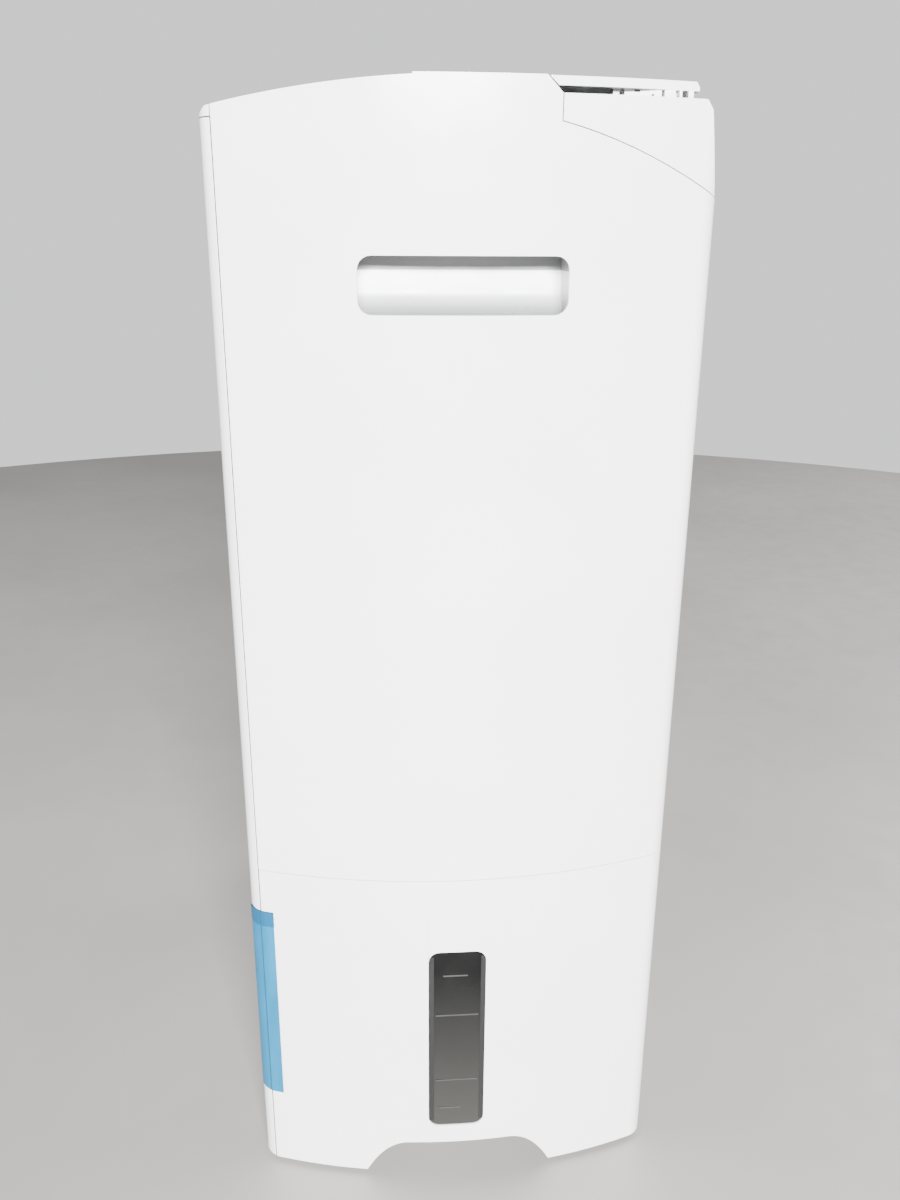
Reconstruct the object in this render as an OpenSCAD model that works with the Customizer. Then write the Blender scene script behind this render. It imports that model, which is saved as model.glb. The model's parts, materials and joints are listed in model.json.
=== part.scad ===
// Upright dehumidifier with a side-loading water tank and a louvered top outlet.
// Millimetres. +Z is up, +X is the tank side, -Y is the front, and the origin
// is the middle of the footprint at floor level.

/* [Body] */
// Overall width, from one bulged side to the other
body_w = 370; // [300:1:450]
// Overall depth, front to rear
body_d = 225; // [200:1:275]
// Overall height, floor to the top of the outlet flap
body_h = 580; // [480:1:700]
// How far each side face bulges out at mid depth
side_bulge = 19.5; // [5:0.5:25]
// Radius of the four upright corners
corner_r = 12; // [8:1:20]
// Thickness of the moulded outer panels
wall = 2.5; // [2:0.1:3]
// Visible gap between neighbouring panels
seam = 0.5; // [0.3:0.1:1]
// Height of the rubber feet below the panels
foot_h = 3; // [2:0.5:6]
// Depth of the front panel's return on each side
front_return = 5.5; // [4:0.5:8]

/* [Top] */
// How far the deck's front edge lies below its middle
deck_drop = 11.7; // [6:0.1:16]
// Height of the top cover's lip above the front panel
front_lip = 4.4; // [3:0.1:8]
// Depth of the outlet flap, front to rear
flap_d = 67; // [55:0.5:75]
// Thickness of the outlet flap
flap_t = 3.8; // [3:0.1:5]
// Height of the open slot below the flap at its ends
slot_h = 3.4; // [3:0.1:6]
// How far forward of the flap's rear end its pivot lies
pivot_back = 24; // [20:0.5:26]
// Diameter of the flap's pivot pins
pivot_d = 6; // [4:0.5:8]
// Drop of the rear cover's curved edge below the deck, at its front end
swoosh_drop = 17.3; // [14:0.1:24]

/* [Handles] */
// Width of each hand recess
grip_w = 91.5; // [80:0.5:110]
// Height of each hand recess
grip_h = 24.5; // [20:0.5:32]
// Height of the hand recess's lower edge above the floor
grip_z = 485; // [390:1:500]
// How deep each hand recess goes into the body
grip_depth = 24; // [18:1:30]

/* [Tank] */
// Height of the tank seam above the floor
tank_top = 200; // [170:1:230]
// Length of the tank's bin along its slide
tank_l = 146; // [110:1:160]
// Thickness of the tank's walls
tank_wall = 2; // [1.6:0.1:3]
// Clearance round the tank in its bay
tank_gap = 1; // [0.8:0.1:2]
// Width of the water level window
window_w = 31; // [24:0.5:40]
// Height of the water level window
window_h = 119; // [90:1:125]
// Height of the window's lower edge above the floor
window_z = 36.5; // [34:0.5:45]
// Width of the pull notch at the floor
notch_w = 109; // [90:1:120]
// Height of the pull notch
notch_h = 24.5; // [20:0.5:28]

/* [Air path] */
// Depth of the removable filter
filter_t = 4; // [3:0.5:6]
// Depth of the cold coil
evap_d = 20; // [14:1:24]
// Depth of the warm coil
cond_d = 15; // [12:1:20]
// Depth of the drying rotor
rotor_d = 20; // [14:1:24]
// Depth of the fan motor
motor_d = 34; // [26:1:38]
// Clearance between neighbouring inner pieces
gap = 1; // [0.6:0.1:1.5]
// Wall thickness of the inner housings
shell = 2; // [1.6:0.1:2.5]
// Radius of the copper tubes
tube_r = 3; // [2.5:0.5:4]
// Tooth size (module) of the rotor's ring gear
gear_m = 2; // [1.5:0.5:2.5]
// Number of teeth on the pinion
pinion_teeth = 12; // [10:1:16]

/* [Compressor] */
// Diameter of the compressor's can
comp_d = 104; // [90:1:120]
// Height of the compressor's can
comp_h = 150; // [120:1:160]

/* [Controls] */
// Width of the control strip
panel_w = 220; // [180:1:260]
// Depth of the control strip along the deck
panel_d = 36; // [30:1:40]
// Button width
button_w = 20; // [14:1:24]
// Travel of each button
button_travel = 0.8; // [0.5:0.1:1.2]

/* [Hidden] */
$fn = 48;

// ---- plan outline: two bulged sides, flat front and rear, tangent corner fillets
half_w = body_w / 2;
half_d = body_d / 2;
side_r = (half_d * half_d + side_bulge * side_bulge) / (2 * side_bulge);
side_cx = half_w - side_r;
fillet_cy = half_d - corner_r;
fillet_cx = side_cx + sqrt(pow(side_r - corner_r, 2) - pow(fillet_cy, 2));
fillet_end = asin(fillet_cy / (side_r - corner_r));
corner_steps = 8;
side_steps = 24;

// x of the side face at depth y, for an outline drawn in by d
function side_x(y, d = 0) = side_cx + sqrt(pow(side_r - d, 2) - y * y);

// points of the plan outline drawn in by d, counter-clockwise from the front right corner
function right_half(d) = concat(
    [for (i = [0 : corner_steps - 1])
        let (a = -90 + (90 - fillet_end) * i / corner_steps)
        [fillet_cx + (corner_r - d) * cos(a), -fillet_cy + (corner_r - d) * sin(a)]],
    [for (i = [0 : side_steps])
        let (a = -fillet_end + 2 * fillet_end * i / side_steps)
        [side_cx + (side_r - d) * cos(a), (side_r - d) * sin(a)]],
    [for (i = [1 : corner_steps])
        let (a = fillet_end + (90 - fillet_end) * i / corner_steps)
        [fillet_cx + (corner_r - d) * cos(a), fillet_cy + (corner_r - d) * sin(a)]]);
function outline(d) = concat(right_half(d), [for (p = right_half(d)) -p]);

// ---- side profile of the top, drawn in by d
deck_z = body_h - 0.5;
deck_flat_y = 5;
ridge_y = -23.6;
outlet_y0 = 31.4;
flap_y1 = half_d - 12;
flap_y0 = flap_y1 - flap_d;
flap_z0 = body_h - flap_t;
rim_z = flap_z0 - slot_h;
rear_top_y = half_d - 6.6;
rear_seam_y = half_d - 1.6;
swoosh_z1 = body_h - 46;
deck_steps = 12;
deck_front_y = -half_d + 3.3;
function deck_at(y) = deck_z - deck_drop * pow((deck_flat_y - y) / (deck_flat_y - deck_front_y), 2);
function top_profile(d) = concat(
    [[-half_d + d, 0], [-half_d + d, deck_z - deck_drop - front_lip + 1]],
    [for (i = [0 : deck_steps])
        let (y = deck_front_y + (ridge_y - deck_front_y) * i / deck_steps)
        [y, deck_at(y) - d]],
    [[ridge_y, deck_z - d], [outlet_y0 - d * 0.4, deck_z - d],
        [outlet_y0 - d * 0.4 + (deck_z - rim_z), rim_z - d],
        [rear_top_y - 3 - d, rim_z - d], [rear_top_y - d, rim_z - 4 - d],
        [rear_seam_y - d, swoosh_z1], [half_d - d, swoosh_z1], [half_d - d, 0]]);
front_top_z = deck_z - deck_drop - front_lip;
swoosh_y0 = outlet_y0 + deck_z - rim_z;
function swoosh_at(y) = deck_z - swoosh_drop - 0.225 * (y - swoosh_y0) - 0.0023 * pow(y - swoosh_y0, 2);
swoosh_steps = 10;
// region behind and above the curved seam, pushed up by s
function rear_top_region(s) = concat(
    [for (i = [0 : swoosh_steps])
        let (y = swoosh_y0 + s + (half_d + 5 - swoosh_y0) * i / swoosh_steps)
        [y, max(swoosh_at(y), swoosh_z1 - 4) + s]],
    [[half_d + 5 + s, body_h + 9], [swoosh_y0 + s, body_h + 9]]);

// ---- seams and inner faces
front_seam_y = -half_d + front_return;
rear_seam_x = half_w - 35;
panel_z0 = foot_h;
floor_z0 = panel_z0 + 1;
floor_t = 4;
bay_floor = floor_z0 + floor_t;
tank_x0 = half_w - 10 - tank_l;
tank_hd = half_d - wall - 10;
bin_z0 = bay_floor + 0.4;
bin_top = tank_top - 34;
deck_floor_z = tank_top - 4;
pan_z0 = tank_top + shell + gap;
pan_h = 14;
notch_gap = 4;

// ---- drawing helpers
// Prism of a plan outline drawn in by d, from z0 to z1
module plan(d, z0, z1) {
    translate([0, 0, z0]) linear_extrude(z1 - z0) polygon(outline(d));
}
// Prism along X of a (y, z) outline
module along_x(points, x0, x1) {
    translate([x0, 0, 0]) rotate([90, 0, 90]) linear_extrude(x1 - x0) polygon(points);
}
// Prism along Y of an (x, z) outline
module along_y(points, y0, y1) {
    translate([0, y1, 0]) rotate([90, 0, 0]) linear_extrude(y1 - y0) polygon(points);
}
// Box between two corners
module block(x, y, z) {
    translate([x[0], y[0], z[0]]) cube([x[1] - x[0], y[1] - y[0], z[1] - z[0]]);
}
// Round bar along X, Y or Z between two stations
module bar_x(x0, x1, y, z, d) { translate([x0, y, z]) rotate([0, 90, 0]) cylinder(d = d, h = x1 - x0); }
module bar_y(y0, y1, x, z, d) { translate([x, y0, z]) rotate([-90, 0, 0]) cylinder(d = d, h = y1 - y0); }
module bar_z(z0, z1, x, y, d) { translate([x, y, z0]) cylinder(d = d, h = z1 - z0); }
// Corner points of a rounded rectangle centred at (u, v)
function round_rect(u, v, w, h, r, steps = 5) = [for (q = [0 : 3]) for (i = [0 : steps])
    let (a = 90 * q + 90 * i / steps, sx = (q == 0 || q == 3) ? 1 : -1, sy = q < 2 ? 1 : -1)
    [u + sx * (w / 2 - r) + r * cos(a), v + sy * (h / 2 - r) + r * sin(a)]];

// ---- outer panels
// Moulded wall between the plan outline and the same outline drawn in by the wall
module skin(z0, z1) {
    difference() {
        plan(0, z0, z1);
        plan(wall, z0 - 1, z1 + 1);
    }
}
grip_y = -1.8;
grip_r = 6;
grip_mid = grip_z + grip_h / 2;
module grip_hole(x0, x1, grow = 0) {
    along_x(round_rect(grip_y, grip_mid, grip_w + 2 * grow, grip_h + 2 * grow, grip_r + grow), x0, x1);
}
// Right-hand panel above z0, cut clear of the curved rear cover
module right_panel(z0) {
    difference() {
        intersection() {
            skin(z0, body_h);
            along_x(top_profile(0), 0, half_w + 1);
            block([rear_seam_x, half_w + 1], [front_seam_y + seam, half_d + 1], [z0 - 1, body_h + 1]);
        }
        along_x(rear_top_region(0), rear_seam_x - 1, half_w + 1);
        grip_hole(rear_seam_x, half_w + 1);
    }
}
module side_panel_right() {
    color("white") right_panel(tank_top + seam);
}
module side_panel_left() {
    color("white") mirror([1, 0, 0]) right_panel(panel_z0);
}
module front_panel() {
    color("white") intersection() {
        union() {
            skin(panel_z0, front_top_z);
            // Return flange that the side panels butt against
            difference() {
                plan(wall, panel_z0, front_top_z);
                plan(front_return, panel_z0 - 1, front_top_z + 1);
            }
        }
        block([-half_w, half_w], [-half_d - 1, front_seam_y], [0, front_top_z + 1]);
    }
}

// Solid of the body's top, drawn in by the given amounts at the sides and above
module top_solid(side, above) {
    intersection() {
        plan(side, front_top_z + seam, body_h);
        along_x(top_profile(above), -half_w, half_w);
    }
}
// ---- control strip: a local frame on the sloping front of the deck
panel_y1 = ridge_y - 38;
panel_y0 = panel_y1 - panel_d;
panel_slope = atan((deck_at(panel_y1) - deck_at(panel_y0)) / panel_d);
panel_z = (deck_at(panel_y1) + deck_at(panel_y0)) / 2;
panel_t = 2;
panel_in = 0.3;
module on_deck() {
    translate([0, (panel_y0 + panel_y1) / 2, panel_z]) rotate([panel_slope, 0, 0]) children();
}
deck_side = wall + seam;
module top_cover() {
    color("white") difference() {
        intersection() {
            difference() {
                union() {
                    top_solid(deck_side, 0);
                    // Front lip, flush with the front panel's outside
                    intersection() {
                        top_solid(0, 0);
                        block([-half_w, half_w], [-half_d, front_seam_y], [0, body_h]);
                    }
                }
                difference() {
                    top_solid(deck_side + wall, wall);
                    // Ledge round the control strip
                    on_deck() block([-panel_w / 2 - 4, panel_w / 2 + 4],
                        [-panel_d / 2 - 4, panel_d / 2 + 4], [-panel_t - 3.4, 0]);
                }
            }
            block([-half_w, half_w], [-half_d, swoosh_y0 - seam], [0, body_h]);
            along_x([[-half_d, 0], [outlet_y0 - 2, 0], [outlet_y0 - 2, rim_z + 2],
                [outlet_y0, deck_z], [-half_d, body_h]], -half_w, half_w);
        }
        // Seat and opening for the control strip
        on_deck() {
            block([-panel_w / 2 - panel_in, panel_w / 2 + panel_in],
                [-panel_d / 2 - panel_in, panel_d / 2 + panel_in], [-panel_t, 5]);
            block([-panel_w / 2 + 4, panel_w / 2 - 4], [-panel_d / 2 + 4, panel_d / 2 - 4], [-9, 5]);
        }
    }
}

// Rear top corner piece: both wings, the rear wall and its rim
module upper_rear_cover() {
    color("white") difference() {
        intersection() {
            plan(0, swoosh_z1 - 4, body_h);
            along_x(top_profile(0), -half_w, half_w);
            along_x(rear_top_region(seam), -half_w, half_w);
        }
        intersection() {
            plan(wall, swoosh_z1 - 9, body_h + 1);
            along_x(top_profile(wall), -half_w, half_w);
        }
        // Outlet opening between the wings, ahead of the rear wall
        intersection() {
            plan(wall + 0.1, rim_z - wall - 9, body_h);
            block([-half_w, half_w], [0, rear_top_y - 3.8], [0, body_h]);
        }
    }
}
grille_hw = rear_seam_x - 18;
grille_z0 = pan_z0 + 8;
grille_z1 = swoosh_z1 - 28;
grille_r = 6;
// Pins the grille tips out on
tilt_y = half_d - 1.6;
tilt_z = grille_z0 + 3.5;
tilt_d = 1.8;
gland_x = -rear_seam_x + 24;
gland_z = 52;
gland_hole = 12;
cover_screws = [for (x = [-1, 1]) for (z = [40, tank_top - 30, grille_z1 + 14])
    [x * (rear_seam_x - 9), z]];
module rear_cover() {
    color("white") difference() {
        union() {
            intersection() {
                skin(panel_z0, swoosh_z1 - 4);
                block([-rear_seam_x + seam, rear_seam_x - seam], [0, half_d + 1], [0, body_h]);
            }
            // Screw bosses
            for (s = cover_screws) bar_y(half_d - wall - 6, half_d - wall, s[0], s[1], 9);
            // Ledge behind the grille's opening
            along_y(round_rect(0, (grille_z0 + grille_z1) / 2, 2 * grille_hw + 8,
                grille_z1 - grille_z0 + 8, grille_r), half_d - wall - 1.5, half_d - wall);
        }
        along_y(round_rect(0, (grille_z0 + grille_z1) / 2, 2 * grille_hw,
            grille_z1 - grille_z0, grille_r), half_d - wall - 5, half_d + 1);
        bar_x(-grille_hw - 2.5, grille_hw + 2.5, tilt_y, tilt_z, tilt_d + 2 * pin_clear);
        bar_y(half_d - wall - 1, half_d + 1, gland_x, gland_z, gland_hole);
        for (s = cover_screws) {
            bar_y(half_d - wall - 9, half_d + 1, s[0], s[1], 3.4);
            bar_y(half_d - 1.6, half_d + 1, s[0], s[1], 8);
        }
    }
}
module rear_screws() {
    color("silver") for (s = cover_screws) difference() {
        union() {
            bar_y(half_d - 1.6, half_d - 0.2, s[0], s[1], 7.4);
            bar_y(half_d - wall - 5, half_d - 1.6, s[0], s[1], 3);
        }
        block([s[0] - 2.4, s[0] + 2.4], [half_d - 1, half_d], [s[1] - 0.5, s[1] + 0.5]);
        block([s[0] - 0.5, s[0] + 0.5], [half_d - 1, half_d], [s[1] - 2.4, s[1] + 2.4]);
    }
}
module rear_grille() {
    w = grille_hw - seam;
    z0 = grille_z0 + seam;
    z1 = grille_z1 - seam;
    bars = floor((z1 - z0) / 9);
    color("whitesmoke") difference() {
        union() {
            difference() {
                along_y(round_rect(0, (z0 + z1) / 2, 2 * w, z1 - z0, grille_r - seam), half_d - wall, half_d);
                along_y(round_rect(0, (z0 + z1) / 2, 2 * w - 12, z1 - z0 - 12, 3), half_d - wall - 1, half_d + 1);
            }
            // Slats and the uprights that tie them
            for (i = [1 : bars - 1])
                block([-w + 4, w - 4], [half_d - wall, half_d - 0.4],
                    [z0 + i * (z1 - z0) / bars - 1.5, z0 + i * (z1 - z0) / bars + 1.5]);
            for (x = [-2 : 2])
                block([x * w / 3 - 1.5, x * w / 3 + 1.5], [half_d - wall, half_d - 0.8], [z0 + 3, z1 - 3]);
            bar_x(-grille_hw - 2, -w + 3, tilt_y, tilt_z, tilt_d);
            bar_x(w - 3, grille_hw + 2, tilt_y, tilt_z, tilt_d);
        }
        // Finger pull at the top edge
        block([-20, 20], [half_d - 1.2, half_d + 1], [z1 - 4, z1 + 1]);
    }
}
filter_y1 = half_d - wall - 0.2;
filter_y0 = filter_y1 - filter_t;
module air_filter() {
    w = grille_hw - 3;
    z0 = grille_z0 + 3;
    z1 = grille_z1 - 3;
    nx = floor(w / 16);
    nz = floor((z1 - z0) / 24);
    color("dimgray") union() {
        difference() {
            block([-w, w], [filter_y0, filter_y1], [z0, z1]);
            block([-w + 5, w - 5], [filter_y0 - 1, filter_y1 + 1], [z0 + 5, z1 - 5]);
        }
        block([-w + 4, w - 4], [filter_y0 + 1.4, filter_y0 + 2], [z0 + 4, z1 - 4]);
        for (i = [1 - nx : nx - 1])
            block([i * w / nx - 0.8, i * w / nx + 0.8], [filter_y0, filter_y0 + 1.8], [z0 + 4, z1 - 4]);
        for (i = [1 : nz - 1])
            block([-w + 4, w - 4], [filter_y0, filter_y0 + 1.8],
                [z0 + i * (z1 - z0) / nz - 0.8, z0 + i * (z1 - z0) / nz + 0.8]);
    }
}

// Hand recess: a cup with a rolled lower lip and a deep pocket under its upper edge
cup_wall = 1.8;
cup_lip = 3;
module cup_cavity(x0, x1) {
    steps = 6;
    r = grip_h * 0.4;
    zb = grip_z;
    zt = grip_z + grip_h;
    // Cavity outline in (x, z): floor rising in a quarter round, then back to the pocket
    points = concat([[x1, zb]],
        [for (i = [0 : steps]) let (a = 270 - 90 * i / steps) [x0 + 4 + r + r * cos(a), zb + r + r * sin(a)]],
        [[x0 + 2, zt + cup_lip], [x1 - wall - 4, zt + cup_lip], [x1 - wall - 0.6, zt], [x1, zt]]);
    intersection() {
        along_y(points, -half_d, half_d);
        grip_hole(x0, x1, cup_lip);
        block([x0, x1], [grip_y - grip_w / 2, grip_y + grip_w / 2], [zb, zt + cup_lip + 1]);
    }
}
module handle_cup() {
    x1 = half_w - wall - 0.1;
    x0 = half_w - wall - grip_depth;
    difference() {
        intersection() {
            union() {
                along_x(round_rect(grip_y, grip_mid + cup_lip / 2, grip_w + 2 * cup_wall,
                    grip_h + cup_lip + 2 * cup_wall, grip_r + cup_wall), x0 - cup_wall, x1);
                along_x(round_rect(grip_y, grip_mid + cup_lip / 2, grip_w + 16,
                    grip_h + 16, grip_r + 6), x1 - 6, x1);
            }
            plan(wall + 0.1, 0, body_h);
        }
        cup_cavity(x0, half_w + 1);
    }
}
module handle_cup_right() {
    color("white") handle_cup();
}
module handle_cup_left() {
    color("white") mirror([1, 0, 0]) handle_cup();
}

// ---- controls on the deck
display_x = [-38, 18];
display_d = 20;
button_d = 10;
button_lift = 0.6;
button_gap = 0.3;
button_xs = [-panel_w / 2 + 20, -panel_w / 2 + 48, panel_w / 2 - 74, panel_w / 2 - 48, panel_w / 2 - 22];
board_drop = 11;
board_t = 1.6;
module control_panel() {
    color("gainsboro") on_deck() difference() {
        block([-panel_w / 2, panel_w / 2], [-panel_d / 2, panel_d / 2], [-panel_t, 0]);
        for (x = button_xs)
            block([x - button_w / 2 - button_gap, x + button_w / 2 + button_gap],
                [-button_d / 2 - button_gap, button_d / 2 + button_gap], [-panel_t - 1, 1]);
        block([display_x[0], display_x[1]], [-display_d / 2, display_d / 2], [-panel_t - 1, 1]);
    }
}
module display_window() {
    color("black") on_deck() block([display_x[0], display_x[1]], [-display_d / 2, display_d / 2], [-panel_t, 0.2]);
}
module deck_button(x) {
    color("whitesmoke") on_deck() {
        block([x - button_w / 2, x + button_w / 2], [-button_d / 2, button_d / 2], [-panel_t, button_lift]);
        block([x - 2, x + 2], [-2, 2], [-board_drop + 3.4 + button_travel, -panel_t]);
    }
}
module button_power() { deck_button(button_xs[0]); }
module button_mode() { deck_button(button_xs[1]); }
module button_laundry() { deck_button(button_xs[2]); }
module button_timer() { deck_button(button_xs[3]); }
module button_louver() { deck_button(button_xs[4]); }
module control_board() {
    color("darkgreen") on_deck() {
        block([-panel_w / 2 + 6, panel_w / 2 - 6], [-panel_d / 2 + 6, panel_d / 2 - 6],
            [-board_drop - board_t, -board_drop]);
        for (x = button_xs) block([x - 3, x + 3], [-3, 3], [-board_drop, -board_drop + 3]);
        block([display_x[0] + 3, display_x[1] - 3], [-7, 7], [-board_drop, -panel_t - 0.5]);
        // Stand-offs up to the cover's ledge
        for (x = [-1, 1]) for (y = [-1, 1])
            block([x * (panel_w / 2 - 4) - 3, x * (panel_w / 2 - 4) + 3],
                [y * (panel_d / 2 - 7) - 3, y * (panel_d / 2 - 7) + 3], [-board_drop - board_t, -panel_t - 3.4]);
    }
}

// ---- outlet: flap, blade, pivots and duct
duct_hw = half_w - 43;
duct_z0 = body_h - 88;
pivot_y = flap_y1 - pivot_back;
pivot_z = flap_z0 - 6.2;
// The flap's tail swings down between the wings, so it is drawn in further than their inner faces
flap_side = wall + 3.2;
arm_t = 4;
arm_x = duct_hw + shell + 1.5;
hinge_x0 = arm_x + arm_t + 0.5;
hinge_x1 = hinge_x0 + 10;
pin_clear = 0.05;
module louver_flap() {
    color("white") {
        intersection() {
            plan(flap_side, flap_z0 - 1, body_h + 1);
            along_x([[flap_y0 + flap_t, flap_z0], [flap_y1, flap_z0], [flap_y1, flap_z0 + 1.5],
                [flap_y1 - 1.5, body_h], [flap_y0, body_h], [flap_y0 + 0.4, body_h - 0.8]], -half_w, half_w);
        }
        for (side = [0, 1]) mirror([side, 0, 0]) {
            // Arm, pin and the end ribs
            along_x([[pivot_y - 8, flap_z0], [pivot_y - 4.5, pivot_z], [pivot_y - 2, pivot_z - 4.5],
                [pivot_y + 2, pivot_z - 4.5], [pivot_y + 4.5, pivot_z], [pivot_y + 6, flap_z0]], arm_x, arm_x + arm_t);
            bar_x(arm_x + arm_t, hinge_x1 - 0.5, pivot_y, pivot_z, pivot_d);
            for (y = [pivot_y - 14, pivot_y + 9, pivot_y + 13])
                block([hinge_x1 + 1, hinge_x1 + 3.5], [y, y + 2.6], [rim_z - 2, flap_z0]);
            block([hinge_x1 + 1, hinge_x1 + 3.5], [pivot_y - 14, pivot_y + 15], [flap_z0 - 1.2, flap_z0]);
        }
    }
}
blade_y = (flap_y0 + pivot_y) / 2 - 0.5;
blade_z = pivot_z - 10;
module pivot_block() {
    difference() {
        union() {
            bar_x(hinge_x0, hinge_x1, pivot_y, pivot_z, pivot_d + 5);
            block([hinge_x0, hinge_x1], [pivot_y - pivot_d / 2 - 2.5, pivot_y + pivot_d / 2 + 2.5],
                [pivot_z - 22, pivot_z]);
            block([duct_hw + shell, hinge_x1], [blade_y + 10, pivot_y + 8], [pivot_z - 26, pivot_z - 20]);
        }
        bar_x(hinge_x0 - 1, hinge_x1 + 1, pivot_y, pivot_z, pivot_d + 2 * pin_clear);
    }
}
module pivot_block_right() {
    color("white") pivot_block();
}
module pivot_block_left() {
    color("white") mirror([1, 0, 0]) pivot_block();
}
blade_half = (pivot_y - flap_y0) / 2 - 6.5;
blade_pin = 4;
module inner_louver() {
    color("lightgray") {
        along_x([[blade_y - blade_half, blade_z - 0.6], [blade_y, blade_z - 2.6], [blade_y + blade_half, blade_z - 0.6],
            [blade_y + blade_half, blade_z + 0.6], [blade_y, blade_z + 2.6], [blade_y - blade_half, blade_z + 0.6]],
            -duct_hw + 2, duct_hw - 2);
        bar_x(-duct_hw - shell - 5, duct_hw + shell + 1, blade_y, blade_z, blade_pin);
    }
}
stepper_d = 18;
module louver_motor() {
    x = -duct_hw - shell;
    color("silver") difference() {
        union() {
            bar_x(x - 15, x, blade_y, blade_z, stepper_d);
            block([x - 2, x], [blade_y - 13, blade_y + 13], [blade_z - 4, blade_z + 4]);
        }
        bar_x(x - 6, x + 1, blade_y, blade_z, blade_pin + 2 * pin_clear);
    }
}
motor_y0 = -half_d + wall + 3 + gap;
scroll_y0 = motor_y0 + motor_d;
duct_y0 = scroll_y0 - 1;
duct_lip = 3;
duct_front_top = outlet_y0 + 0.6;
notch_y = pivot_y - 8;
swing_z = pivot_z - pivot_back - 6;
module outlet_duct() {
    y1 = fan_y1;
    front = [[duct_y0, duct_z0], [duct_front_top, pivot_z - 18], [duct_front_top, rim_z + 0.5],
        [duct_front_top + shell, rim_z + 0.5], [duct_front_top + shell, pivot_z - 19.2],
        [duct_y0 + 2 * shell, duct_z0]];
    rear_end = flap_y1 - 2;
    rear = [[y1 - shell * 2, duct_z0], [rear_end - shell, swing_z - 2], [rear_end - shell, swing_z],
        [rear_end, swing_z], [rear_end, swing_z - 2.8], [y1, duct_z0]];
    cheek = [[duct_y0, duct_z0], [duct_front_top, pivot_z - 18], [duct_front_top, rim_z + 0.5],
        [notch_y, rim_z - 2], [notch_y, swing_z], [rear_end, swing_z], [rear_end, swing_z - 2.8], [y1, duct_z0]];
    color("dimgray") difference() {
        union() {
            along_x(front, -duct_hw, duct_hw);
            along_x(rear, -duct_hw, duct_hw);
            along_x(cheek, duct_hw, duct_hw + shell);
            along_x(cheek, -duct_hw - shell, -duct_hw);
            // Floor with the opening for the fan's neck
            difference() {
                block([-duct_hw - shell, duct_hw + shell], [duct_y0, y1], [duct_z0, duct_z0 + shell]);
                block([neck_x0, neck_x1], [fan_y0 + shell, fan_y1 - shell], [duct_z0 - 1, duct_z0 + shell + 1]);
            }
        }
        bar_x(-duct_hw - shell - 1, duct_hw + shell + 1, blade_y, blade_z, blade_pin + 2 * pin_clear);
    }
}

// ---- air path, from the rear: filter, cold coil, warm coil, drying rotor, fan
coil_x0 = -side_x(half_d - corner_r) + wall + 18;
coil_x1 = half_w - 78;
air_xc = (coil_x0 + coil_x1) / 2;
pan_wall = 2;
pan_gap = 0.8;
coil_z0 = pan_z0 + pan_wall + 1;
coil_z1 = duct_z0 - 6;
air_zc = (coil_z0 + coil_z1) / 2;
evap_y1 = filter_y0 - gap - pan_wall - pan_gap;
evap_y0 = evap_y1 - evap_d;
cond_y1 = evap_y0 - 2 * gap;
cond_y0 = cond_y1 - cond_d;
frame_y1 = cond_y0 - gap - pan_wall - pan_gap;
frame_y0 = frame_y1 - rotor_d - 2 * gap - shell;
heater_t = 11;
fan_y1 = frame_y0 - heater_t - gap;
fan_y0 = scroll_y0;
tube_pitch = (coil_z1 - coil_z0) / 8;
fin_t = 0.6;
fins = 22;
// Fins between two end plates, threaded by one serpentine tube
module coil(y0, y1) {
    x0 = coil_x0 + tube_pitch / 2 + tube_r + 2;
    x1 = coil_x1 - tube_pitch / 2 - tube_r - 2;
    yc = (y0 + y1) / 2;
    for (i = [0 : fins])
        block([x0 + i * (x1 - x0 - fin_t) / fins, x0 + i * (x1 - x0 - fin_t) / fins + fin_t], [y0, y1], [coil_z0, coil_z1]);
    for (i = [0 : 7]) bar_x(x0 - 3, x1 + 3, yc, coil_z0 + (i + 0.5) * tube_pitch, 2 * tube_r);
    for (i = [0 : 6]) {
        left = i % 2 == 1;
        translate([left ? x0 - 3 : x1 + 3, yc, coil_z0 + (i + 1) * tube_pitch])
            rotate([90, 0, 0]) rotate([0, 0, left ? 90 : -90])
            rotate_extrude(angle = 180) translate([tube_pitch / 2, 0]) circle(r = tube_r);
    }
}
module evaporator() {
    color("silver") coil(evap_y0, evap_y1);
}
module condenser() {
    color("lightgray") coil(cond_y0, cond_y1);
}

ring_room = min(coil_x1 - coil_x0, coil_z1 - coil_z0) / 2 - 12;
ring_teeth = floor(2 * ring_room / gear_m);
ring_r = ring_teeth * gear_m / 2;
pinion_r = pinion_teeth * gear_m / 2;
mesh_angle = -45;
gear_centre = ring_r + pinion_r;
pinion_x = air_xc + gear_centre * cos(mesh_angle);
pinion_z = air_zc + gear_centre * sin(mesh_angle);
axle_d = 10;
rotor_y0 = frame_y0 + shell + gap;
rotor_y1 = rotor_y0 + rotor_d;
// Gear outline with narrow teeth, so that the pair turns with backlash
function gear(n, m, phase) = [for (i = [0 : n - 1]) for (k = [0 : 3])
    let (a = 360 * i / n + phase, w = [0.36, 0.2, -0.2, -0.36][k] * 180 / n,
        r = n * m / 2 + [-0.9, 0.7, 0.7, -0.9][k] * m)
    [r * cos(a - w), r * sin(a - w)]];
module desiccant_rotor() {
    color("dimgray") translate([air_xc, rotor_y1, air_zc]) rotate([90, 0, 0]) difference() {
        union() {
            // Toothed rim, honeycomb drum and hub
            linear_extrude(8) polygon(gear(ring_teeth, gear_m, mesh_angle));
            cylinder(r = ring_r - gear_m - 1, h = rotor_d);
        }
        translate([0, 0, -1]) cylinder(d = axle_d + 2 * pin_clear, h = rotor_d + 2);
        // Face recesses between rim and hub
        for (z = [-1, rotor_d - 2]) translate([0, 0, z]) difference() {
            cylinder(r = ring_r - gear_m - 5, h = 3);
            translate([0, 0, -1]) cylinder(r = 18, h = 5);
        }
    }
}
pinion_shaft = 4;
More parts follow.
